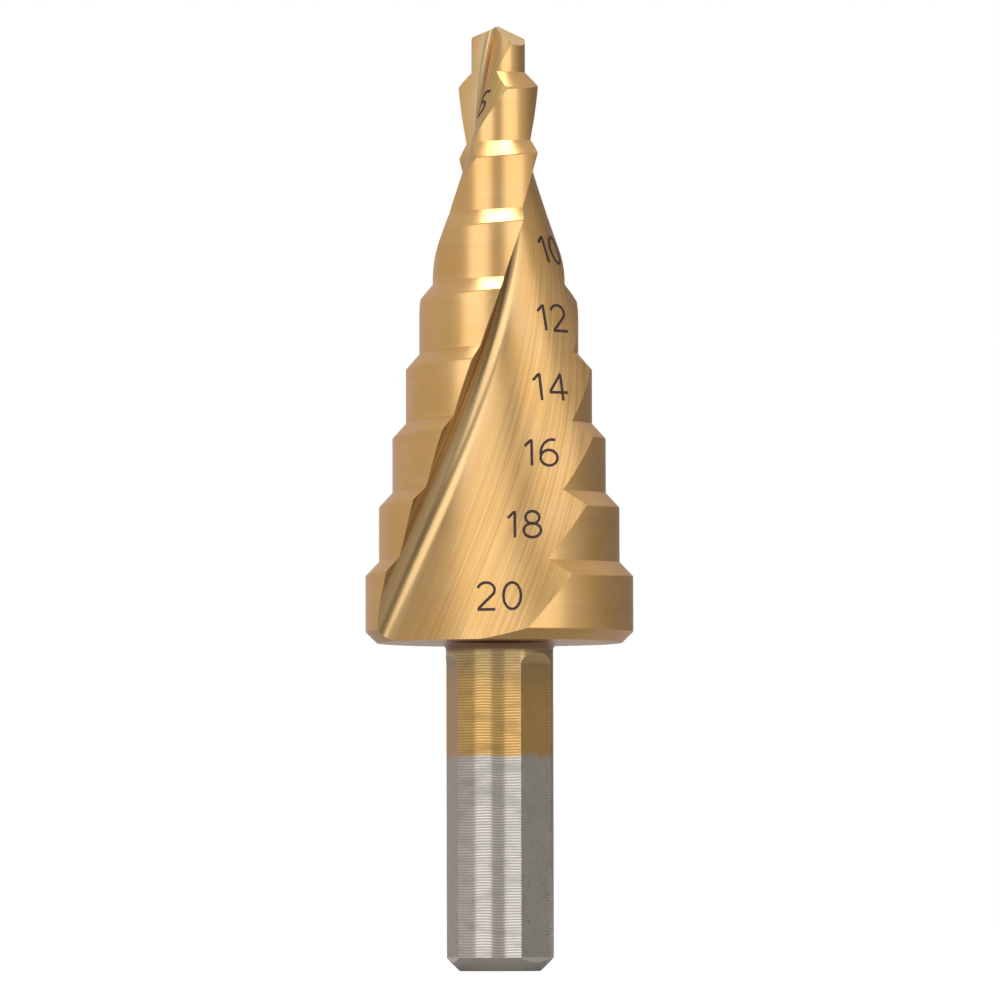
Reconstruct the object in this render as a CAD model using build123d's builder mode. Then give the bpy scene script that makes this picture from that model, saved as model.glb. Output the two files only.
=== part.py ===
"""A spiral-fluted step drill, 4 to 20 mm, ground from one bar of high-speed steel.

The drill stands on the end of its shank with the point up. Its origin is the centre of that end
face, +Z runs along the axis to the point, and the front of the drill looks along -Y. Angles of
edges and flats are measured from that front, anticlockwise seen from the point.
"""

from build123d import *
from math import acos, atan, cos, degrees, exp, hypot, log, radians, sin, sqrt, tan
import os

# Steps of the cutting body, millimetres
first_diameter = 4.0
diameter_rise = 2.0
step_count = 9
step_pitch = 5.2
tip_step_length = 2.65
collar_length = 5.2
rim_chamfer = 0.85

# Shank and its three clamping flats
shank_diameter = 8.0
shank_length = 24.4
shank_end_chamfer = 1.0
chamfer_crown_radius = 12.0
shank_root_radius = 0.6
flat_count = 3
flat_depth = 0.33
flat_front_angle = 46.5
flat_run_out_radius = 1.2
collar_to_flat = 0.85

# Two flutes on a conical right-hand helix
helix_angle = 21.0
collar_edge_angle = -57.0
flute_span = 84.0
tip_extra_span = 47.5
extra_span_fade = 4.7
heel_angle = 24.0
tip_web_ratio = 0.243
collar_web_ratio = 0.80
flute_root_ratio = 0.2

# Relief ground behind the cutting edges, as the fall a quarter turn behind an edge
radial_relief = 0.07
axial_relief = 0.5
relief_lead = 60.0

# Point
point_angle = 135.0
lip_relief_angle = 10.0
heel_relief_angle = 37.0
lip_facet_width = 0.3

# Working allowances: how far cuts run past the body and cones run on inside the step above
overcut = 1.0
cone_overlap = 0.6
wall_overrun = 8.0
loft_twist = 14.0

# Derived sizes
first_radius = first_diameter / 2
radius_rise = diameter_rise / 2
collar_radius = first_radius + radius_rise * (step_count - 1)
shank_radius = shank_diameter / 2
shoulder_height = radius_rise
collar_shoulder = shank_length + collar_length
taper = radius_rise / step_pitch
point_height = first_radius / tan(radians(point_angle / 2))
tip_corner = collar_shoulder + step_pitch * (step_count - 2) + shoulder_height + tip_step_length
overall_length = tip_corner + point_height
flat_face = shank_radius - flat_depth
flat_top = shank_length - collar_to_flat
flat_run_out = sqrt(2 * flat_run_out_radius * flat_depth - flat_depth**2)
flat_cut_top = flat_top - flat_run_out + flat_run_out_radius


def polar(radius, angle):
    """A point at a radius and an angle from the front of the drill."""
    return (radius * sin(radians(angle)), -radius * cos(radians(angle)))


def envelope(z):
    """Radius of the cone that touches the outer corner of every step."""
    return collar_radius - (z - collar_shoulder) * taper


def edge_angle(z):
    """Angle from the front at which the first cutting edge stands at a height."""
    return collar_edge_angle + degrees(tan(radians(helix_angle)) / taper * log(collar_radius / envelope(z)))


def step_radius(step):
    """Radius of a step, counted from the collar at 0 up to the point."""
    return collar_radius - radius_rise * step


def shoulder_base(step):
    """Height at which a step's full radius ends and its shoulder starts to slope in."""
    return collar_shoulder + step_pitch * step


def land_of_step(step, turn):
    """One land of a step: half of a disc set off its axis, so that its wall draws in behind the edge.

    Its shoulder is a cone that leans away behind the edge, so that the edge cuts first.
    """
    radius = step_radius(step)
    last = step == step_count - 1
    bottom = shank_length if step == 0 else shoulder_base(step - 1) - shoulder_height
    top = overall_length + overcut if last else shoulder_base(step) + shoulder_height + cone_overlap
    edge = edge_angle((bottom + min(top, tip_corner)) / 2) + turn
    offset = radial_relief / (cos(radians(relief_lead)) - cos(radians(relief_lead + 90)))
    wall_radius = radius - offset * cos(radians(relief_lead))
    clear = radius + overcut
    with BuildPart() as land:
        with BuildSketch(Plane.XY.offset(bottom)):
            with Locations(polar(offset, edge + relief_lead)):
                Circle(wall_radius)
            with Locations(Location((0, 0, 0), (0, 0, edge + flute_span / 2 - 90))):
                Rectangle(2 * clear, clear, align=(Align.CENTER, Align.MAX), mode=Mode.INTERSECT)
        extrude(amount=top - bottom)
        if not last:
            base = shoulder_base(step)
            corner = edge_angle(base) + turn
            lean = atan(axial_relief / radius)
            behind = polar(sin(lean), corner - 90)
            depth = base - bottom + overcut
            with Locations(Plane((0, 0, base), z_dir=(behind[0], behind[1], cos(lean)))):
                with Locations((0, 0, -depth)):
                    Cone(
                        radius + depth,
                        0,
                        radius + depth,
                        align=(Align.CENTER, Align.CENTER, Align.MIN),
                        mode=Mode.INTERSECT,
                    )
    return land.part


def flute_outline(z, turn):
    """Section of one flute: rake face, root, convex wall, heel, and a closing arc clear of the body."""
    radius = envelope(z)
    edge = edge_angle(z) + turn
    span = flute_span + tip_extra_span * exp(-(radius - first_radius) / extra_span_fade)
    web_slope = (collar_web_ratio - tip_web_ratio) / (collar_radius - first_radius)
    web = radius * (tip_web_ratio + web_slope * (radius - first_radius))
    root = radius * flute_root_ratio
    clear = radius + overcut

    # The wall is the circle through the crease and the heel that leaves the heel at the heel angle
    heel = (radius * cos(radians(span)), radius * sin(radians(span)))
    facing = radians(span - heel_angle)
    normal = (cos(facing), sin(facing))
    chord = (web - heel[0], -heel[1])
    wall_radius = -(chord[0] ** 2 + chord[1] ** 2) / (2 * (chord[0] * normal[0] + chord[1] * normal[1]))
    centre = (heel[0] - wall_radius * normal[0], heel[1] - wall_radius * normal[1])

    # The root rounds the corner between the rake face and the wall
    reach = wall_radius + root
    root_x = centre[0] + sqrt(reach**2 - (root - centre[1]) ** 2)
    to_root = ((root_x - centre[0]) / reach, (root - centre[1]) / reach)
    root_on_wall = (centre[0] + wall_radius * to_root[0], centre[1] + wall_radius * to_root[1])
    middle = (-to_root[0], -to_root[1] - 1)
    middle_length = hypot(*middle)
    root_middle = (root_x + root * middle[0] / middle_length, root + root * middle[1] / middle_length)

    # The wall runs a little past the heel and then straight out of the body
    past = facing + radians(wall_overrun)
    wall_end = (centre[0] + wall_radius * cos(past), centre[1] + wall_radius * sin(past))
    start = acos(to_root[0]) * (1 if to_root[1] > 0 else -1)
    halfway = (start + past) / 2
    wall_middle = (centre[0] + wall_radius * cos(halfway), centre[1] + wall_radius * sin(halfway))
    line_distance = wall_end[0] * cos(past) + wall_end[1] * sin(past)
    out_angle = past + acos(line_distance / clear)
    out = (clear * cos(out_angle), clear * sin(out_angle))
    out_middle = (clear * cos(out_angle / 2), clear * sin(out_angle / 2))
    with BuildSketch(Plane((0, 0, z), x_dir=(*polar(1, edge), 0), z_dir=(0, 0, 1))) as outline:
        with BuildLine():
            Line((clear, 0), (root_x, 0))
            ThreePointArc((root_x, 0), root_middle, root_on_wall)
            ThreePointArc(root_on_wall, wall_middle, wall_end)
            Line(wall_end, out)
            ThreePointArc(out, out_middle, (clear, 0))
        make_face()
    return outline.sketch


def flute_cutter(turn):
    """One flute, lofted through sections that turn with the edge and shrink with the steps."""
    wide = envelope(shank_length - overcut)
    narrow = envelope(overall_length + overcut)
    turning = degrees(tan(radians(helix_angle)) / taper * log(wide / narrow))
    spans = round(turning / loft_twist)
    radii = [wide * (narrow / wide) ** (section / spans) for section in range(spans + 1)]
    heights = [collar_shoulder + (collar_radius - radius) / taper for radius in radii]
    with BuildPart() as cutter:
        loft([flute_outline(z, turn) for z in heights])
    return cutter.part


lands = [land_of_step(step, turn) for step in range(step_count) for turn in (0, 180)]
flutes = [flute_cutter(turn) for turn in (0, 180)]

with BuildPart() as step_drill:
    # Stepped body, before the flutes
    for land in lands:
        add(land)
    with BuildSketch(Plane.XZ):
        with BuildLine():
            Polyline(
                (collar_radius - rim_chamfer, shank_length),
                (collar_radius + overcut, shank_length),
                (collar_radius + overcut, shank_length + rim_chamfer + overcut),
                close=True,
            )
        make_face()
    revolve(axis=Axis.Z, mode=Mode.SUBTRACT)

    # Shank, with its slightly crowned end chamfer and the radius under the collar
    with BuildSketch(Plane.XZ):
        with BuildLine():
            Polyline(
                (shank_radius + shank_root_radius, shank_length),
                (shank_radius + shank_root_radius, shank_length + overcut),
                (0, shank_length + overcut),
                (0, 0),
                (shank_radius - shank_end_chamfer, 0),
            )
            RadiusArc(
                (shank_radius - shank_end_chamfer, 0),
                (shank_radius, shank_end_chamfer),
                -chamfer_crown_radius,
            )
            Line((shank_radius, shank_end_chamfer), (shank_radius, shank_length - shank_root_radius))
            RadiusArc(
                (shank_radius, shank_length - shank_root_radius),
                (shank_radius + shank_root_radius, shank_length),
                shank_root_radius,
            )
        make_face()
    revolve(axis=Axis.Z)

    # Clamping flats, each ending in the round of the wheel that ground it
    cut_width = flat_run_out_radius + overcut
    for flat in range(flat_count):
        angle = flat_front_angle + 360 / flat_count * flat
        with BuildSketch(Plane((0, 0, 0), x_dir=(*polar(1, angle), 0), z_dir=(*polar(1, angle - 90), 0))):
            with Locations((flat_face, -overcut)):
                Rectangle(cut_width, flat_cut_top + overcut, align=(Align.MIN, Align.MIN))
            fillet(vertices().group_by(Axis.X)[0].sort_by(Axis.Y)[-1], flat_run_out_radius)
        extrude(amount=shank_radius, both=True, mode=Mode.SUBTRACT)

    # Flutes
    for flute in flutes:
        add(flute, mode=Mode.SUBTRACT)

    # Point: behind each lip a narrow facet with a little relief, then a steep one down to the heel
    lip_fall = point_height / first_radius
    lip_relief = tan(radians(lip_relief_angle))
    heel_relief = tan(radians(heel_relief_angle))
    for turn in (0, 180):
        lip = polar(1, edge_angle(tip_corner) + turn)
        behind = polar(1, edge_angle(tip_corner) + turn - 90)
        for relief in (lip_relief, heel_relief):
            normal = (lip[0] * lip_fall + behind[0] * relief, lip[1] * lip_fall + behind[1] * relief, 1)
            apex = overall_length + (relief - lip_relief) * lip_facet_width
            split(bisect_by=Plane((0, 0, apex), z_dir=normal), keep=Keep.BOTTOM)

step_drill.part.label = "step_drill"

os.makedirs("parts", exist_ok=True)
export_step(step_drill.part, "parts/step_drill.step")
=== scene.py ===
"""Looks of the step drill: its ground surfaces, gold coating, bare shank and step numbers.

The drill stands on its shank with the point up, as the photograph shows it. Lengths are in
millimetres until a vertex is placed, and angles are in degrees from the front, anticlockwise seen
from the point.
"""

from math import acos, asin, atan, atan2, ceil, cos, degrees, exp, hypot, log, pi, radians, sin, sqrt, tan

import bpy
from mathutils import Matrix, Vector


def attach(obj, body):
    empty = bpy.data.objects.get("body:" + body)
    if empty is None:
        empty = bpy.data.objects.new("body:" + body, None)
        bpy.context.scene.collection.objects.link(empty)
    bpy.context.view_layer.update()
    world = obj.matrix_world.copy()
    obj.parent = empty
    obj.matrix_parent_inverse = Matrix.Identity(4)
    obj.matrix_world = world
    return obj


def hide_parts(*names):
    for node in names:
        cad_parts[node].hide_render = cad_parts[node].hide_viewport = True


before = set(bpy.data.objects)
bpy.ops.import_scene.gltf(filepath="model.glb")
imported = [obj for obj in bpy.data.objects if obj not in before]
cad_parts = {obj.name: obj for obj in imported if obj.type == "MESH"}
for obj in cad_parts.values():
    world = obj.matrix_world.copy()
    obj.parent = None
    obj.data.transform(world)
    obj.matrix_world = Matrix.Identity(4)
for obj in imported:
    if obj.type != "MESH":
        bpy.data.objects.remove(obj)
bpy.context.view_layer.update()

mm = 0.001

# Steps and shank, as the drill's source has them
first_radius = 2.0
radius_rise = 1.0
step_count = 9
step_pitch = 5.2
tip_step_length = 2.65
collar_length = 5.2
rim_chamfer = 0.85
shank_radius = 4.0
shank_length = 24.4
end_chamfer = 1.0
chamfer_crown_radius = 12.0
shank_root_radius = 0.6
flat_count = 3
flat_depth = 0.33
flat_front_angle = 46.5
flat_run_out_radius = 1.2
collar_to_flat = 0.85

# Flutes, relief and point, as the drill's source has them
helix_angle = 21.0
collar_edge_angle = -57.0
flute_span = 84.0
tip_extra_span = 47.5
extra_span_fade = 4.7
heel_angle = 24.0
tip_web_ratio = 0.243
collar_web_ratio = 0.80
flute_root_ratio = 0.2
radial_relief = 0.07
axial_relief = 0.5
relief_lead = 60.0
point_angle = 135.0
lip_relief_angle = 10.0
heel_relief_angle = 37.0
lip_facet_width = 0.3

# Working allowances: how far cuts run past the body and cones run on inside the step above
overcut = 1.0
cone_overlap = 0.6

# Camera, just above the foot of the drill and looking slightly up
camera_distance = 620.0
camera_height = 3.5
frame_width = 74.55
frame_centre = (-0.01, 0, 35.06)
camera_roll = 0.13
sensor_width = 36.0

# Soft boxes either side of the camera and one overhead, in a room with two darker sides
box_distance = 900.0
left_box_angle = -35.5
right_box_angle = 32.5
left_box_size = (640.0, 900.0)
right_box_size = (780.0, 900.0)
box_height = 250.0
box_glow = 1.07
top_box_place = (-35.0, 10.0, 1050.0)
top_box_size = (200.0, 560.0)
top_box_glow = 8.6
room_glow = 0.6
room_colour = (1.0, 0.95, 0.87)
dark_side_angle = 128.0
dark_side_edge = (0.45, 0.95)
dark_side_glow = 0.22
dark_side_flatness = 2.2
camera_side_angle = -3.5
camera_side_edge = (0.93, 0.98)
camera_side_glow = 0.36
white = (1.0, 1.0, 1.0)

# Floor, with its side in metres and the share of it that glows white for the camera
floor_side = 6.0
floor_colour = (0.6, 0.6, 0.6)
floor_glow = 1.16
floor_glow_share = 0.85

# Finishes
gold = (0.80, 0.49, 0.19)
pale_gold = (0.81, 0.52, 0.235)
shank_gold = (0.70, 0.44, 0.165)
collar_gold = (0.52, 0.37, 0.18)
# Dark brown painted in the fillet under the collar as painted shade
collar_shade_brown = (0.20, 0.125, 0.07)
bare_steel = (0.59, 0.56, 0.525)
edge_tint = (0.95, 0.88, 0.95)
# Darker gold painted on the rake faces as painted shade
shaded_rake_gold = (0.37, 0.28, 0.14)
tip_gold = (0.82, 0.55, 0.24)
# Paler gold painted on the point's facets as a painted highlight
point_highlight_gold = (1.0, 0.76, 0.38)
# Paler gold painted into the creases by the root as painted light, against the orange of bounced light
painted_crease_gold = (0.80, 0.585, 0.32)
marking_dark = (0.030, 0.018, 0.022)
marking_light = (0.085, 0.050, 0.055)

# Feed marks of the shank, and where its coating ends
feed = 0.206
coating_end = 15.9

# Where one finish gives way to another, or to painted shade or a painted highlight: heights, one radius,
# and distances from the rim and facets
tip_blend = (57.0, 62.0)
rim_shade_blend = (-0.12, 0.02)
facet_blend = (-0.03, -0.01)
end_chamfer_blend = (0.95, 1.1)
flat_radius_blend = (3.94, 3.985)
flat_top_blend = (23.4, 23.6)
round_top_blend = (23.4, 23.7)
scratch_fade = (6.0, 13.0)
gilt_blend = (20.2, 23.4)
collar_shade_blend = (23.5, 24.0)

# Step numbers: text, flute, middle as seen from the front in millimetres, height and lean
numbers = (
    ("6", 1, (-1.18, 64.55), 1.85, -20.0),
    ("10", 0, (3.90, 53.74), 2.00, 17.0),
    ("12", 0, (4.00, 48.50), 1.95, 9.0),
    ("14", 0, (3.85, 43.24), 2.02, 6.5),
    ("16", 0, (3.12, 38.28), 1.96, 1.0),
    ("18", 0, (1.86, 32.90), 1.96, 0.0),
    ("20", 0, (-0.03, 27.58), 2.00, 0.0),
)
numeral_widths = {"0": 0.6, "1": 0.24, "2": 0.6, "4": 0.66, "6": 0.6, "8": 0.6}
numeral_breadth = 1.10
numeral_gap = 0.30
arc_parts = 14
stroke_width = 0.20
stroke_spacing = 0.12
marking_lift = 0.015
wall_limit = 0.995

# How finely the ground surfaces are divided
rake_columns = 14
root_columns = 30
wall_columns = 60
land_columns = 46
rim_rows = 6
row_share = 0.04
wall_pace = 0.6
widest_pace = 1.4
chamfer_rows = 6
shank_root_rows = 9
run_out_parts = 14

# Rounds in which the places of an edge, of a heel and of a flute's crossing are found
edge_rounds = 8
heel_rounds = 12
crossing_rounds = 40

# Wear of the edges, joining of close points and smooth shading
edge_wear = 0.04
weld_distance = 0.0005
cut_tolerance = 0.0001
smooth_angle = 13.0

# Angle ahead of an edge up to which the grinding map still measures from that edge
ahead_of_edge = 20.0

# How far the point's facets reach down below its corner, and how far up their normals look at least
point_zone = 0.9
facet_rise = 0.5

# Material slots of the drill
land_slot, rake_slot, flute_slot, shank_slot = 0, 1, 2, 3

# Derived sizes
collar_radius = first_radius + radius_rise * (step_count - 1)
collar_shoulder = shank_length + collar_length
taper = radius_rise / step_pitch
rim_radius = collar_radius - rim_chamfer
rim_top = shank_length + rim_chamfer
point_height = first_radius / tan(radians(point_angle / 2))
tip_corner = collar_shoulder + step_pitch * (step_count - 2) + radius_rise + tip_step_length
overall_length = tip_corner + point_height
relief_offset = radial_relief / (cos(radians(relief_lead)) - cos(radians(relief_lead + 90)))


def polar(radius, angle):
    """A point at a radius and an angle from the front of the drill."""
    return (radius * sin(radians(angle)), -radius * cos(radians(angle)))


def envelope(z):
    """Radius of the cone that touches the outer corner of every step."""
    return collar_radius - (z - collar_shoulder) * taper


def edge_angle(z):
    """Angle at which the first cutting edge stands at a height."""
    return collar_edge_angle + degrees(tan(radians(helix_angle)) / taper * log(collar_radius / envelope(z)))


def shoulder_base(step):
    """Height at which a step's full radius ends and its shoulder starts to slope in."""
    return collar_shoulder + step_pitch * step


def land_radius(step, angle):
    """Radius of the first land of a step, which draws in a little behind its edge."""
    last = step == step_count - 1
    bottom = shank_length if step == 0 else shoulder_base(step - 1) - radius_rise
    top = tip_corner if last else shoulder_base(step) + radius_rise + cone_overlap
    turned = radians(angle - edge_angle((bottom + top) / 2) - relief_lead)
    radius = collar_radius - radius_rise * step
    wall = radius - relief_offset * cos(radians(relief_lead))
    return relief_offset * cos(turned) + sqrt(wall**2 - (relief_offset * sin(turned)) ** 2)


def shoulder_height(step, radius, angle):
    """Height of a step's shoulder, a cone whose axis leans so that the shoulder falls behind the edge."""
    base = shoulder_base(step)
    full = collar_radius - radius_rise * step
    lean = atan(axial_relief / full)
    behind = polar(sin(lean), edge_angle(base) - 90)
    upright = cos(lean)
    x, y = polar(radius, angle)
    x -= full * behind[0]
    y -= full * behind[1]
    along = x * behind[0] + y * behind[1]

    # The cone's side stands at 45 degrees to its axis
    square = upright**2 - 0.5
    slope = 2 * along * upright
    rest = along**2 - (x**2 + y**2) / 2
    return base + full * upright + (-slope - sqrt(slope**2 - 4 * square * rest)) / (2 * square)


class Section:
    """Section of the first flute at a height, in axes whose x runs from the drill's axis to the edge."""

    def __init__(self, z):
        radius = envelope(z)
        span = flute_span + tip_extra_span * exp(-(radius - first_radius) / extra_span_fade)
        web_slope = (collar_web_ratio - tip_web_ratio) / (collar_radius - first_radius)
        web = radius * (tip_web_ratio + web_slope * (radius - first_radius))
        heel = (radius * cos(radians(span)), radius * sin(radians(span)))
        self.facing = radians(span - heel_angle)
        normal = (cos(self.facing), sin(self.facing))
        chord = (web - heel[0], -heel[1])
        self.wall = -(chord[0] ** 2 + chord[1] ** 2) / (2 * (chord[0] * normal[0] + chord[1] * normal[1]))
        self.centre = (heel[0] - self.wall * normal[0], heel[1] - self.wall * normal[1])
        self.root = radius * flute_root_ratio
        reach = self.wall + self.root
        self.root_x = self.centre[0] + sqrt(reach**2 - (self.root - self.centre[1]) ** 2)
        self.wall_start = atan2(self.root - self.centre[1], self.root_x - self.centre[0])
        self.radius = radius

    def on_root(self, turn):
        """A point of the root, after a turn from the rake face."""
        return (self.root_x - self.root * sin(turn), self.root - self.root * cos(turn))

    def on_wall(self, angle):
        """A point of the wall."""
        return (self.centre[0] + self.wall * cos(angle), self.centre[1] + self.wall * sin(angle))

    def crossing(self, radius):
        """Angle of the wall's centre, and the turn from it to where the wall crosses a radius."""
        away = hypot(*self.centre)
        share = (radius**2 - away**2 - self.wall**2) / (2 * away * self.wall)
        return atan2(self.centre[1], self.centre[0]), acos(share)

    def outward_angle(self, radius):
        """Angle on the wall's circle where the wall reaches a radius on its way out to the heel."""
        angle, turn = self.crossing(radius)
        return (angle - turn + pi / 2) % (2 * pi) - pi / 2

    def inward_angle(self, radius):
        """Angle on the wall's circle where the wall comes inside a radius, where the rake has gone."""
        angle, turn = self.crossing(radius)
        return (angle + turn + pi) % (2 * pi) - pi

    def root_turn_at(self, radius):
        """Turn on the root at which the flute comes inside a radius.

        It is 0 where the rake face reaches inside already, and None where only the wall does.
        """
        if radius >= self.root_x:
            return 0.0
        low, high = 0.0, pi / 2 - self.wall_start
        if hypot(*self.on_root(high)) > radius:
            return None
        for _ in range(crossing_rounds):
            middle = (low + high) / 2
            if hypot(*self.on_root(middle)) > radius:
                low = middle
            else:
                high = middle
        return high


def rim_row(share):
    """A ring on the chamfer under the collar."""

    def place(angle):
        radius = rim_radius + (land_radius(0, angle) - rim_radius) * share
        return radius, shank_length + radius - rim_radius

    return place


def land_row(step, share):
    """A ring on the land of a step, from the shoulder below it to its own shoulder."""

    def place(angle):
        radius = land_radius(step, angle)
        low = shank_length + radius - rim_radius
        if step > 0:
            low = shoulder_height(step - 1, radius, angle)
        high = overall_length + radius_rise
        if step < step_count - 1:
            high = shoulder_height(step, radius, angle)
        return radius, low + (high - low) * share

    return place


def shoulder_row(step, share):
    """A ring on the shoulder of a step."""

    def place(angle):
        outer = land_radius(step, angle)
        radius = outer + (land_radius(step + 1, angle) - outer) * share
        return radius, shoulder_height(step, radius, angle)

    return place


def body_rows():
    """The rings of the stepped body, from the rim up past the point."""
    rows = [rim_row(row / rim_rows) for row in range(rim_rows)]
    for step in range(step_count):
        radius = collar_radius - radius_rise * step
        last = step == step_count - 1
        length = step_pitch - radius_rise
        if last:
            length = overall_length + radius_rise - shoulder_base(step - 1)
        count = ceil(length / (row_share * radius))
        unworn = 1 - edge_wear / length
        shares = [unworn * row / count for row in range(count + 1)]
        rows += [land_row(step, share) for share in shares]
        if not last:
            count = ceil(radius_rise / (row_share * radius))
            shares = [edge_wear + (1 - edge_wear) * row / count for row in range(count)]
            rows += [shoulder_row(step, share) for share in shares]
    return rows


def half_ring(place):
    """Half of one ring: the flute from the first edge to the other land's heel, then that land."""
    # Where the ring enters the flute, on the rake face, the root or the wall
    angle = edge_angle(place(collar_edge_angle)[1])
    for _ in range(edge_rounds):
        edge_radius, edge_z = place(angle)
        section = Section(edge_z)
        turn = section.root_turn_at(edge_radius)
        wall_start = section.wall_start
        if turn is None:
            wall_start = section.inward_angle(edge_radius)
            start = section.on_wall(wall_start)
        elif turn > 0:
            start = section.on_root(turn)
        else:
            start = (edge_radius, 0)
        angle = edge_angle(edge_z) + degrees(atan2(start[1], start[0]))
    land_end = angle

    # Where it leaves the flute, at the heel of the other land
    heel = angle - 90
    for _ in range(heel_rounds):
        heel_radius, heel_z = place(heel)
        heel_section = Section(heel_z)
        wall_end = heel_section.outward_angle(heel_radius)
        point = heel_section.on_wall(wall_end)
        heel = edge_angle(heel_z) + degrees(atan2(point[1], point[0])) - 180

    # The flute, whose wall has columns that are closer at the root
    flute = []
    worn = edge_wear if turn == 0 else 0
    for column in range(rake_columns):
        share = column / rake_columns
        x = edge_radius - worn + (section.root_x - edge_radius + worn) * share
        flute.append(((x, 0) if turn == 0 else start, edge_z))
    if turn is None:
        flute += [(start, edge_z)] * root_columns
    else:
        for column in range(root_columns):
            share = column / root_columns
            flute.append((section.on_root(turn + (pi / 2 - wall_start - turn) * share), edge_z))
    even_pace = wall_pace * (heel_section.facing - heel_section.wall_start)
    for column in range(wall_columns + 1):
        share = column / wall_columns
        z = edge_z + (heel_z - edge_z) * share**2
        here = Section(z)
        low = wall_start if turn is None else here.wall_start
        reach = wall_end - low
        first = min(even_pace, widest_pace * reach)
        flute.append((here.on_wall(low + first * share + (reach - first) * share**3), z))
    points = []
    for (x, y), z in flute:
        along = polar(1, edge_angle(z))
        points.append(Vector((x * along[0] - y * along[1], x * along[1] + y * along[0], z)))

    # The land behind the heel, up to the worn edge
    land_end -= degrees(worn / edge_radius)
    for column in range(1, land_columns + 1):
        angle = heel + (land_end - heel) * column / land_columns
        radius, z = place(angle)
        points.append(Vector((*polar(radius, angle + 180), z)))
    return points


def ring(place):
    """A whole ring, closed: the half ring, and the same turned by half a turn."""
    half = half_ring(place)
    return half + [Vector((-point.x, -point.y, point.z)) for point in half] + half[:1]


def laid_grid(name, rows):
    """A grid primitive laid over rows of points."""
    bpy.ops.object.select_all(action="DESELECT")
    bpy.ops.mesh.primitive_grid_add(x_subdivisions=len(rows[0]) - 1, y_subdivisions=len(rows) - 1)
    piece = bpy.context.object
    piece.name = name
    places = []
    for row in rows:
        for point in row:
            places += [point.x * mm, point.y * mm, point.z * mm]
    piece.data.vertices.foreach_set("co", places)
    return piece


def only(piece):
    """Select one piece alone and make it active."""
    bpy.ops.object.select_all(action="DESELECT")
    bpy.context.view_layer.objects.active = piece
    piece.select_set(True)


def join(pieces):
    """Join pieces into the first of them."""
    bpy.ops.object.select_all(action="DESELECT")
    for piece in pieces:
        piece.select_set(True)
    bpy.context.view_layer.objects.active = pieces[0]
    bpy.ops.object.join()
    return pieces[0]


def edit(piece, kind, chosen):
    """Enter edit mode on a piece with only its chosen edges or faces selected."""
    only(piece)
    bpy.context.tool_settings.mesh_select_mode = (False, kind == "edges", kind == "polygons")
    bpy.ops.object.mode_set(mode="EDIT")
    bpy.ops.mesh.select_all(action="DESELECT")
    bpy.ops.object.mode_set(mode="OBJECT")
    for part in getattr(piece.data, kind):
        part.select = chosen(part)
    bpy.ops.object.mode_set(mode="EDIT")


def grind_lines(piece):
    """A map whose first axis runs across the grinding lines, for the materials to read.

    It is in millimetres from the root. In the flutes it is widened as they narrow towards the point,
    so that it measures everywhere as it does at the collar.
    """
    mesh = piece.data
    layer = mesh.uv_layers.new(name="grind")
    on_land = []
    on_rake = []
    on_flute = []
    for vertex in mesh.vertices:
        x, y, z = vertex.co / mm
        angle = degrees(atan2(x, -y))
        on_land.append((z, radians(angle) * hypot(x, y)))
        level = min(z, overall_length)
        here = Section(level)
        behind = radians((angle - edge_angle(level) + ahead_of_edge) % 180 - ahead_of_edge)
        across, up = hypot(x, y) * cos(behind), hypot(x, y) * sin(behind)
        on_rake.append((across - here.root_x, z))
        deepest = here.on_root((pi / 2 - here.wall_start) / 2)
        turned = atan2(up - here.centre[1], across - here.centre[0])
        turned -= atan2(deepest[1] - here.centre[1], deepest[0] - here.centre[0])
        on_flute.append((collar_radius / here.radius * here.wall * turned, z))
    tables = {rake_slot: on_rake, flute_slot: on_flute}
    places = []
    for face in mesh.polygons:
        table = tables.get(face.material_index, on_land)
        for corner in face.vertices:
            places += table[corner]
    layer.data.foreach_set("uv", places)


def cut(piece, cutter):
    """Cut one piece with another, and delete the cutter."""
    only(piece)
    bpy.ops.object.modifier_add(type="BOOLEAN")
    modifier = piece.modifiers[-1]
    modifier.object = cutter
    modifier.operation = "DIFFERENCE"
    modifier.solver = "EXACT"
    bpy.ops.object.modifier_apply(modifier=modifier.name)
    bpy.data.objects.remove(cutter)


def flat_wheel(angle):
    """The space that the wheel clears over one clamping flat, with a round inner end."""
    face = shank_radius - flat_depth
    run_out = sqrt(2 * flat_run_out_radius * flat_depth - flat_depth**2)
    top = shank_length - collar_to_flat - run_out + flat_run_out_radius
    depth = flat_run_out_radius + overcut
    near = 0.1
    bpy.ops.object.select_all(action="DESELECT")
    bpy.ops.mesh.primitive_cube_add(size=1)
    wheel = bpy.context.object
    wheel.scale = (2 * shank_radius * mm, depth * mm, (top + overcut) * mm)
    wheel.location = (0, -(face + depth / 2) * mm, (top - overcut) / 2 * mm)
    bpy.ops.object.transform_apply(location=True, rotation=True, scale=True)

    def inner_end(edge):
        ends = [wheel.data.vertices[end].co for end in edge.vertices]
        return all(end.z > (top - near) * mm and end.y > -(face + near) * mm for end in ends)

    edit(wheel, "edges", inner_end)
    bpy.ops.mesh.bevel(offset=flat_run_out_radius * mm, segments=run_out_parts, affect="EDGES")
    bpy.ops.object.mode_set(mode="OBJECT")
    wheel.rotation_euler = (0, 0, radians(angle))
    bpy.ops.object.transform_apply(location=True, rotation=True, scale=True)
    return wheel


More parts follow.
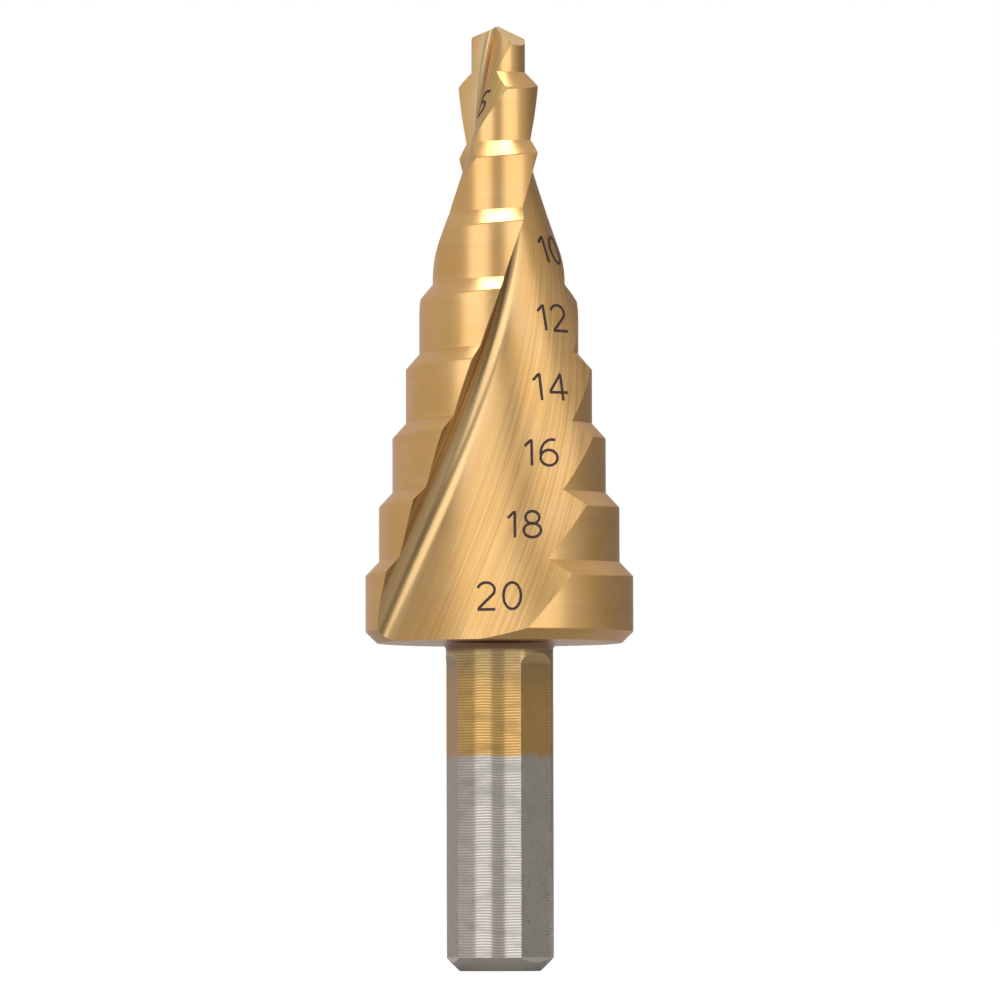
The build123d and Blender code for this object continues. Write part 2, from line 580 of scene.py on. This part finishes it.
def shank(angles):
    """The shank with its crowned end chamfer, its root radius and three clamping flats."""
    stations = [(0, 0), (shank_radius - end_chamfer, 0)]
    sagitta = end_chamfer**2 / (4 * chamfer_crown_radius)
    for row in range(1, chamfer_rows):
        share = row / chamfer_rows
        bulge = 4 * sagitta * share * (1 - share) / sqrt(2)
        radius = shank_radius - end_chamfer + end_chamfer * share + bulge
        stations.append((radius, end_chamfer * share - bulge))
    stations += [(shank_radius, end_chamfer), (shank_radius, shank_length - shank_root_radius)]
    for row in range(1, shank_root_rows + 1):
        turn = radians(90 * row / shank_root_rows)
        radius = shank_radius + shank_root_radius * (1 - cos(turn))
        stations.append((radius, shank_length - shank_root_radius * (1 - sin(turn))))
    stations.append((0, shank_length))
    rows = [[Vector((*polar(radius, angle), z)) for angle in angles] for radius, z in stations]
    piece = laid_grid("shank", rows)
    close(piece)
    for flat in range(flat_count):
        cut(piece, flat_wheel(flat_front_angle + 360 / flat_count * flat))

    # The top disc goes, because the collar closes the shank there
    level, near_top = 0.999, shank_length - 0.01
    edit(piece, "polygons", lambda face: face.normal.z > level and face.center.z > near_top * mm)
    bpy.ops.mesh.delete(type="FACE")
    bpy.ops.object.mode_set(mode="OBJECT")
    return piece


def close(piece):
    """Join the doubles of a laid grid and turn its faces outwards."""
    edit(piece, "polygons", lambda face: True)
    bpy.ops.mesh.remove_doubles(threshold=weld_distance * mm)
    bpy.ops.mesh.normals_make_consistent(inside=False)
    bpy.ops.object.mode_set(mode="OBJECT")


def point_facets():
    """The point's four facets: where each meets the axis, and its normal, which has 1 upwards."""
    fall = point_height / first_radius
    lip_relief = tan(radians(lip_relief_angle))
    heel_relief = tan(radians(heel_relief_angle))
    for turn in (0, 180):
        lip = polar(1, edge_angle(tip_corner) + turn)
        behind = polar(1, edge_angle(tip_corner) + turn - 90)
        for relief in (lip_relief, heel_relief):
            apex = overall_length + (relief - lip_relief) * lip_facet_width
            yield apex, (lip[0] * fall + behind[0] * relief, lip[1] * fall + behind[1] * relief, 1)


def grind_point(piece):
    """Behind each lip a narrow facet with a little relief, then a steep one down to the heel."""
    edit(piece, "polygons", lambda face: True)
    for apex, normal in point_facets():
        bpy.ops.mesh.select_all(action="SELECT")
        bpy.ops.mesh.bisect(
            plane_co=(0, 0, apex * mm),
            plane_no=normal,
            use_fill=True,
            clear_outer=True,
            threshold=cut_tolerance * mm,
        )
    bpy.ops.object.mode_set(mode="OBJECT")
    for face in piece.data.polygons:
        if face.center.z > (tip_corner - point_zone) * mm and face.normal.z > facet_rise:
            face.material_index = land_slot


def drill(materials):
    """The whole drill: its body with the flutes ground in, the shank and the point."""
    rings = [ring(place) for place in body_rows()]
    angles = [degrees(atan2(point.x, -point.y)) for point in rings[0]]
    root_radius = shank_radius + shank_root_radius
    root_ring = [Vector((*polar(root_radius, angle), shank_length)) for angle in angles]
    piece = laid_grid("ground_body", [root_ring, *rings])
    foot = shank(angles)
    for material in materials:
        piece.data.materials.append(material)
        foot.data.materials.append(material)

    # The first strip is the collar's underside, and keeps the finish of the lands
    columns = len(angles) - 1
    for face in piece.data.polygons:
        row, column = divmod(face.index, columns)
        column %= columns // 2
        if row > 0 and column < rake_columns:
            face.material_index = rake_slot
        elif row > 0 and column < rake_columns + root_columns + wall_columns:
            face.material_index = flute_slot
    for face in foot.data.polygons:
        face.material_index = shank_slot
    close(piece)
    join([piece, foot])
    grind_point(piece)
    close(piece)
    return piece


def arc(centre, width, height, start, end):
    """Points along part of an ellipse, in the height of a numeral."""
    turns = [radians(start + (end - start) * part / arc_parts) for part in range(arc_parts + 1)]
    return [(centre[0] + width * cos(turn), centre[1] + height * sin(turn)) for turn in turns]


def numeral(digit):
    """The strokes of one numeral, one unit high, with its left foot at the origin."""
    strokes = {
        "0": [arc((0.3, 0.5), 0.3, 0.5, 0, 360)],
        "1": [[(0.0, 0.74), (0.24, 1.0), (0.24, 0.0)]],
        "2": [[*arc((0.3, 0.72), 0.3, 0.28, 165, -30), (0.0, 0.0), (0.62, 0.0)]],
        "4": [[(0.46, 0.0), (0.46, 1.0), (0.0, 0.3), (0.66, 0.3)]],
        "6": [[*arc((0.42, 0.42), 0.42, 0.58, 75, 180), *arc((0.3, 0.3), 0.3, 0.3, 160, 520)]],
        "8": [arc((0.3, 0.76), 0.24, 0.24, 0, 360), arc((0.3, 0.27), 0.3, 0.27, 0, 360)],
    }
    return strokes[digit]


def walk(stroke):
    """Places along a stroke at an even spacing, each with the direction of the stroke there."""
    places = []
    for first, second in zip(stroke, stroke[1:]):
        along = Vector(second) - Vector(first)
        count = max(1, round(along.length / stroke_spacing))
        for place in range(count):
            places.append((Vector(first) + along * place / count, along.normalized()))
    places.append((Vector(stroke[-1]), places[-1][1]))
    return places


def number(text, flute, centre, height, lean):
    """One step number laid on the wall of a flute, around a point seen from the front."""
    total = sum(numeral_widths[digit] for digit in text) + numeral_gap * (len(text) - 1)
    side = 1 - 2 * flute

    def on_wall(across, up):
        """A point of the wall, across and up from the number's centre."""
        z = centre[1] + up
        here = Section(z)
        edge = edge_angle(z)
        along = polar(1, edge)
        middle_x = side * (here.centre[0] * along[0] - here.centre[1] * along[1])
        middle_y = side * (here.centre[0] * along[1] + here.centre[1] * along[0])
        column = centre[0] - up * tan(radians(lean))
        share = max(-wall_limit, min(wall_limit, (column - middle_x) / here.wall))
        facing = degrees(asin(share)) + degrees(across / here.wall)
        x, y = polar(here.wall + marking_lift, facing)
        return Vector((middle_x + x, middle_y + y, z))

    strokes = []
    breadth = height * numeral_breadth
    start = -total / 2
    for digit in text:
        for stroke in numeral(digit):
            rows = []
            for place, direction in walk([(x * breadth, y * height) for x, y in stroke]):
                aside = Vector((-direction.y, direction.x)) * stroke_width / 2
                corners = [place - aside, place, place + aside]
                rows.append([on_wall(start * breadth + spot.x, spot.y - height / 2) for spot in corners])
            strokes.append(laid_grid("stroke", rows))
        start += numeral_widths[digit] + numeral_gap
    return strokes


def step_numbers(material):
    """The step numbers, thin raised marks joined into one piece."""
    marks = join([stroke for values in numbers for stroke in number(*values)])
    marks.name = "step_numbers"
    bpy.ops.object.modifier_add(type="SOLIDIFY")
    marks.modifiers[-1].thickness = 2 * marking_lift * mm
    marks.modifiers[-1].offset = 0
    bpy.ops.object.modifier_apply(modifier=marks.modifiers[-1].name)
    marks.data.materials.append(material)
    return marks


class Number:
    """A number that varies over a surface. Arithmetic on it adds the matching Math nodes."""

    def __init__(self, paint, socket):
        self.paint = paint
        self.socket = socket

    def math(self, operation, *values):
        """The result of one Math node."""
        node = self.paint.node("ShaderNodeMath", {"operation": operation}, list(enumerate(values)))
        return Number(self.paint, node.outputs[0])

    def __add__(self, other):
        return self.math("ADD", self, other)

    def __sub__(self, other):
        return self.math("SUBTRACT", self, other)

    def __mul__(self, other):
        return self.math("MULTIPLY", self, other)

    def __radd__(self, other):
        return self.math("ADD", other, self)

    def __rsub__(self, other):
        return self.math("SUBTRACT", other, self)

    def __rmul__(self, other):
        return self.math("MULTIPLY", other, self)

    def sine(self):
        """The sine of it, as an angle in radians."""
        return self.math("SINE", self)

    def ramp(self, low, high):
        """0 below the low value, 1 above the high one, and smooth between them."""
        settings = {"interpolation_type": "SMOOTHSTEP"}
        inputs = [("Value", self), ("From Min", low), ("From Max", high)]
        return Number(self.paint, self.paint.node("ShaderNodeMapRange", settings, inputs).outputs[0])

    def band(self, low, high, soft):
        """1 between two values, with soft ends."""
        return self.ramp(low - soft, low + soft) * (1 - self.ramp(high - soft, high + soft))


class Paint:
    """The nodes of one material, or of the world."""

    def __init__(self, owner):
        owner.use_nodes = True
        self.owner = owner
        self.tree = owner.node_tree
        self.surface = self.tree.nodes.get("Principled BSDF")

    def node(self, kind, settings=(), inputs=()):
        """A node of a kind, with its settings made first and then its inputs set or linked."""
        node = self.tree.nodes.new(kind)
        for name, value in dict(settings).items():
            setattr(node, name, value)
        for name, value in inputs:
            self.put(node.inputs[name], value)
        return node

    def put(self, socket, value):
        """Set a socket to a constant, or link a value to it."""
        if isinstance(value, Number):
            value = value.socket
        if isinstance(value, bpy.types.NodeSocket):
            self.tree.links.new(value, socket)
        elif isinstance(value, tuple) and len(value) == 3 and len(socket.default_value) == 4:
            socket.default_value = (*value, 1)
        else:
            socket.default_value = value

    def multiply(self, first, second):
        """The product of two vectors or colours, part by part."""
        settings = {"operation": "MULTIPLY"}
        return self.node("ShaderNodeVectorMath", settings, [(0, first), (1, second)]).outputs[0]

    def towards(self, direction, angle):
        """How far a direction of length 1 points to an angle from the front, as a cosine."""
        settings = {"operation": "DOT_PRODUCT"}
        inputs = [(0, direction), (1, (*polar(1, angle), 0))]
        return Number(self, self.node("ShaderNodeVectorMath", settings, inputs).outputs["Value"])

    def camera_ray(self):
        """1 for what the camera sees directly, and 0 for all other light."""
        return Number(self, self.node("ShaderNodeLightPath").outputs["Is Camera Ray"])

    def place(self, stretch=(1, 1, 1)):
        """Object coordinates in millimetres, stretched along each axis."""
        source = self.node("ShaderNodeTexCoord").outputs["Object"]
        return self.multiply(source, tuple(part / mm for part in stretch))

    def vector(self, x, y, z):
        """A vector from three numbers."""
        return self.node("ShaderNodeCombineXYZ", (), [(0, x), (1, y), (2, z)]).outputs[0]

    def grind(self, across, along):
        """The grinding map, stretched across and along the lines."""
        source = self.node("ShaderNodeUVMap", {"uv_map": "grind"}).outputs["UV"]
        return self.multiply(source, (across, along, 0))

    def across(self):
        """Distance across the grinding lines in millimetres, out from the root of the flute."""
        parts = self.node("ShaderNodeSeparateXYZ", (), [(0, self.grind(1, 1))])
        return Number(self, parts.outputs["X"])

    def axis(self, name):
        """One of the object's coordinates in millimetres."""
        parts = self.node("ShaderNodeSeparateXYZ", (), [(0, self.place())])
        return Number(self, parts.outputs[name])

    def radius(self):
        """Distance from the drill's axis in millimetres."""
        flat = self.place((1, 1, 0))
        length = self.node("ShaderNodeVectorMath", {"operation": "LENGTH"}, [(0, flat)])
        return Number(self, length.outputs["Value"])

    def noise(self, vector, detail=2.0, roughness=0.5):
        """Noise between 0 and 1, as coarse as the vector's own unit."""
        inputs = [("Vector", vector), ("Scale", 1.0), ("Detail", detail), ("Roughness", roughness)]
        return Number(self, self.node("ShaderNodeTexNoise", (), inputs).outputs[0])

    def blend(self, factor, first, second):
        """A mix of two colours."""
        settings = {"data_type": "RGBA"}
        inputs = [(0, factor), (6, first), (7, second)]
        return self.node("ShaderNodeMix", settings, inputs).outputs[2]

    def tint(self, colour, amount):
        """A colour made lighter or darker by an amount around 1."""
        return self.multiply(colour, self.vector(amount, amount, amount))

    def bump(self, height, depth):
        """Raise the surface by a height between 0 and 1 times a depth in millimetres."""
        inputs = [("Height", height), ("Distance", depth * mm), ("Strength", 1.0)]
        self.put(self.surface.inputs["Normal"], self.node("ShaderNodeBump", (), inputs).outputs[0])

    def finish(self, **values):
        """Set or link the surface's own inputs, and return the material."""
        for name, value in values.items():
            self.put(self.surface.inputs[name.replace("_", " ").title()], value)
        return self.owner


def camera():
    """The camera stands in front of the drill and looks slightly up at the middle of its frame."""
    lens = bpy.data.cameras.new("camera")
    holder = bpy.data.objects.new("camera", lens)
    bpy.context.scene.collection.objects.link(holder)
    holder.location = (frame_centre[0] * mm, -camera_distance * mm, camera_height * mm)
    rise = frame_centre[2] - camera_height
    holder.rotation_euler = (pi / 2 + atan(rise / camera_distance), radians(camera_roll), 0)
    lens.sensor_width = sensor_width
    lens.lens = sensor_width * hypot(camera_distance, rise) / frame_width
    lens.clip_start = 0.01
    lens.clip_end = 50
    bpy.context.scene.camera = holder


def soft_box(name, place, size, glow):
    """A soft box at a place, turned towards the drill."""
    lamp = bpy.data.lights.new(name, "AREA")
    lamp.shape = "RECTANGLE"
    lamp.size, lamp.size_y = (side * mm for side in size)
    lamp.energy = glow * pi * lamp.size * lamp.size_y
    holder = bpy.data.objects.new(name, lamp)
    bpy.context.scene.collection.objects.link(holder)
    holder.location = Vector(place) * mm
    aim = Vector((0, 0, frame_centre[2] * mm)) - holder.location
    holder.rotation_euler = aim.to_track_quat("-Z", "Y").to_euler()
    holder.visible_camera = False


def room():
    """White for the camera, and for everything else a plain room with two darker sides."""
    world = bpy.data.worlds.new("room")
    bpy.context.scene.world = world
    paint = Paint(world)
    paint.tree.nodes.clear()
    direction = paint.node("ShaderNodeTexCoord").outputs["Generated"]

    # The dark side is wider than high, and the one behind the camera is round
    flattened = paint.multiply(direction, (1, 1, dark_side_flatness))
    level = paint.node("ShaderNodeVectorMath", {"operation": "NORMALIZE"}, [(0, flattened)]).outputs[0]
    dark_side = paint.towards(level, dark_side_angle).ramp(*dark_side_edge)
    camera_side = paint.towards(direction, camera_side_angle).ramp(*camera_side_edge)
    glow = room_glow + (dark_side_glow - room_glow) * dark_side
    strength = glow * (1 + (camera_side_glow / room_glow - 1) * camera_side)

    inputs = [("Color", room_colour), ("Strength", strength)]
    plain = paint.node("ShaderNodeBackground", (), inputs)
    blank = paint.node("ShaderNodeBackground", (), [("Color", white)])
    shown = [(0, paint.camera_ray()), (1, plain.outputs[0]), (2, blank.outputs[0])]
    mix = paint.node("ShaderNodeMixShader", (), shown)
    paint.node("ShaderNodeOutputWorld", (), [("Surface", mix.outputs[0])])


def floor():
    """A pale floor that stays white for the camera and keeps the drill's shadow."""
    bpy.ops.mesh.primitive_plane_add(size=floor_side)
    plane = bpy.context.object
    plane.name = "floor"
    paint = Paint(bpy.data.materials.new("floor"))
    plane.data.materials.append(paint.finish(base_color=floor_colour, roughness=1.0))
    paint.put(paint.surface.inputs["Specular IOR Level"], 0.0)
    glow = paint.node("ShaderNodeEmission", (), [("Color", white), ("Strength", floor_glow)])
    share = floor_glow_share * paint.camera_ray()
    shown = [(0, share), (1, paint.surface.outputs[0]), (2, glow.outputs[0])]
    mix = paint.node("ShaderNodeMixShader", (), shown)
    paint.put(paint.tree.nodes["Material Output"].inputs["Surface"], mix.outputs[0])


def coated_land():
    """Gold coating on the ground lands and shoulders, with fine lines running round."""
    paint = Paint(bpy.data.materials.new("coated land"))
    lines = paint.noise(paint.place((0.12, 0.12, 9.0)), detail=3.0, roughness=0.7)
    bands = paint.noise(paint.place((0.05, 0.05, 1.3)))
    cloud = paint.noise(paint.place((0.35, 0.35, 0.35)))
    # Painted shade: the chamfer under the collar is darkened, standing in for the dark reflection it shows
    rim = 1 - paint.axis("Z").ramp(rim_top + rim_shade_blend[0], rim_top + rim_shade_blend[1])
    amount = 0.85 + 0.15 * lines + 0.10 * bands + 0.04 * cloud - 0.32 * rim

    # The point's facets are painted paler than the lands below them: a painted highlight for the bright
    # reflection they catch
    below_point = 1
    for apex, normal in point_facets():
        reach = normal[0] * paint.axis("X") + normal[1] * paint.axis("Y") + paint.axis("Z")
        facet = reach.ramp(apex + facet_blend[0], apex + facet_blend[1])
        below_point = (1 - facet) * below_point
    colour = paint.blend(cloud.ramp(0.3, 0.75), gold, pale_gold)
    paint.bump(lines, 0.0006)
    return paint.finish(
        base_color=paint.tint(paint.blend(below_point, point_highlight_gold, colour), amount),
        metallic=1.0,
        roughness=0.24 + 0.12 * lines,
        specular_tint=edge_tint,
    )


def coated_rake():
    """Gold coating on the narrow rake faces, painted darker and browner as painted shade, and darkest, with
    more painted shade, where they meet the root.
    """
    paint = Paint(bpy.data.materials.new("coated rake"))
    lines = paint.noise(paint.grind(7.0, 0.12), detail=3.0, roughness=0.75)
    streaks = paint.noise(paint.grind(2.0, 0.06))
    away = paint.across()
    tip = paint.axis("Z").ramp(*tip_blend)
    # Painted shade: the rake darkens towards the corner where it meets the root
    corner = (1 - away.ramp(-0.05, 0.45)) * (1 - tip)
    # Painted light: a paler gold in the crease by the root, against the orange of light bounced there
    painted_crease_light = 1 - away.ramp(0.0, 0.9)
    streaked = paint.blend(streaks.ramp(0.5, 1.2), shaded_rake_gold, gold)
    colour = paint.blend(tip, streaked, pale_gold)
    # The low base amount and the rake's darker gold are painted shade; the lines and streaks are grinding
    # marks
    amount = 0.60 + 0.20 * lines + 0.16 * streaks - 0.36 * corner + 0.34 * tip
    paint.bump(lines, 0.0010)
    return paint.finish(
        base_color=paint.tint(paint.blend(painted_crease_light, colour, painted_crease_gold), amount),
        metallic=1.0,
        roughness=0.28 + 0.14 * lines,
        specular_tint=edge_tint,
    )


def coated_flute():
    """Gold coating in the flutes, whose grinding lines follow the helix, with painted shade along the root
    and a painted highlight beside it.
    """
    paint = Paint(bpy.data.materials.new("coated flute"))
    lines = paint.noise(paint.grind(4.5, 0.035), detail=3.0, roughness=0.75)
    streaks = paint.noise(paint.grind(1.3, 0.05))
    cloud = paint.noise(paint.place((0.25, 0.25, 0.25)))
    away = paint.across()
    below_tip = 1 - paint.axis("Z").ramp(*tip_blend)
    # Painted shade: a dark line along the root and a wider darkening towards it
    root = away.band(-0.12, 0.22, 0.14) * below_tip
    inner = (1 - away.ramp(-0.5, 0.3)) * below_tip
    # Painted highlight: a lighter band on the wall beside the root
    painted_highlight = away.band(0.55, 1.2, 0.2)
    # Painted light: a paler gold in the crease by the root, against the orange of light bounced there
    painted_crease_light = (1 - away.ramp(0.8, 2.4)) * (1 - 0.5 * below_tip)
    clouded = paint.blend(cloud.ramp(0.3, 0.75), gold, pale_gold)
    colour = paint.blend(below_tip, tip_gold, clouded)
    fine = 0.20 * lines + 0.20 * (lines.ramp(0.38, 0.62) - 0.3) * away.ramp(1.5, 5.0)
    amount = 0.57 + fine + 0.16 * streaks + 0.06 * cloud - 0.36 * root - 0.16 * inner + 0.12 * painted_highlight
    paint.bump(lines, 0.0010)
    return paint.finish(
        base_color=paint.tint(paint.blend(painted_crease_light, colour, painted_crease_gold), amount),
        metallic=1.0,
        roughness=0.20 + 0.06 * away.ramp(1.0, 2.5) + 0.14 * lines,
        specular_tint=edge_tint,
    )


def shank_steel():
    """Gold coating that ends partway down the bare shank, with feed marks on its round part."""
    paint = Paint(bpy.data.materials.new("shank"))
    height = paint.axis("Z")
    out = paint.radius()
    above_chamfer = height.ramp(*end_chamfer_blend)
    flat = (1 - out.ramp(*flat_radius_blend)) * above_chamfer * (1 - height.ramp(*flat_top_blend))
    round_part = above_chamfer * (1 - flat) * (1 - height.ramp(*round_top_blend))

    # Feed marks, which wander a little and fade in patches
    wander = paint.noise(paint.place((0.45, 0.45, 0.10)), detail=1.0)
    phase = (height + 0.12 * wander) * (2 * pi / feed)
    ridges = 0.5 + 0.5 * phase.sine()
    patches = paint.noise(paint.place((0.30, 0.30, 0.9)), detail=3.0, roughness=0.6)
    marks = ridges * round_part * patches.ramp(0.25, 0.6)

    # Coating, with a ragged end that is sharp on the round part and soft on the flats
    scallops = paint.noise(paint.place((0.8, 0.8, 0.6)))
    drift = paint.noise(paint.place((0.22, 0.22, 0.05)), detail=1.0)
    level = height + 0.5 * (drift - 0.5) + (0.15 + 0.9 * flat) * (scallops - 0.5)
    sharp = level.ramp(coating_end - 0.18, coating_end + 0.18)
    faded = level.ramp(coating_end - 0.45, coating_end + 0.35)
    coated = sharp * (1 - flat) + faded * flat

    # Slanting scratches low on the flats
    turn = radians(flat_front_angle)
    sideways = cos(turn) * paint.axis("X") + sin(turn) * paint.axis("Y")
    slanting = paint.vector((height + sideways) * 0.8, (height - sideways) * 3.2, 0.0)
    scratches = paint.noise(slanting, roughness=0.6)
    nicks = scratches.ramp(0.56, 0.68) * flat * (1 - height.ramp(*scratch_fade))

    # Colours: a duller gold coating under the collar, and painted shade, dark brown, in the fillet right
    # beneath it
    blotches = paint.noise(paint.place((0.8, 0.8, 0.8)), detail=3.0, roughness=0.6)
    under_collar = (height + 1.2 * (blotches - 0.5)).ramp(*gilt_blend)
    gilt = paint.blend(under_collar, shank_gold, collar_gold)
    # Painted shade in the fillet under the collar
    collar_shaded = paint.blend(height.ramp(*collar_shade_blend), gilt, collar_shade_brown)
    colour = paint.blend(coated, bare_steel, collar_shaded)
    blotched = 0.34 * (blotches - 0.5) * (0.15 + 0.85 * flat)
    amount = 0.98 + 0.50 * (marks - 0.4 * round_part) + blotched - 0.26 * nicks
    shade = amount * (1 - 0.22 * flat) * (1.12 - 0.12 * above_chamfer)
    paint.bump(marks, 0.0016)
    return paint.finish(
        base_color=paint.tint(colour, shade),
        metallic=1.0,
        roughness=0.14 + 0.06 * blotches + 0.12 * flat,
        specular_tint=edge_tint,
    )


def marking():
    """The thin dark oxide that marks the step numbers."""
    paint = Paint(bpy.data.materials.new("marking"))
    burn = paint.noise(paint.place((9.0, 9.0, 9.0)))
    return paint.finish(
        base_color=paint.blend(burn.ramp(0.3, 0.7), marking_dark, marking_light),
        metallic=0.4,
        roughness=0.45 + 0.2 * burn,
    )


camera()
room()
floor()
soft_box("left box", (*polar(box_distance, left_box_angle), box_height), left_box_size, box_glow)
soft_box("right box", (*polar(box_distance, right_box_angle), box_height), right_box_size, box_glow)
soft_box("top box", top_box_place, top_box_size, top_box_glow)

piece = drill((coated_land(), coated_rake(), coated_flute(), shank_steel()))
grind_lines(piece)
only(piece)
bpy.ops.object.shade_smooth_by_angle(angle=radians(smooth_angle))
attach(piece, "root")
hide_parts("step_drill")
marks = step_numbers(marking())
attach(marks, "root")

bpy.context.scene.view_settings.view_transform = "Standard"
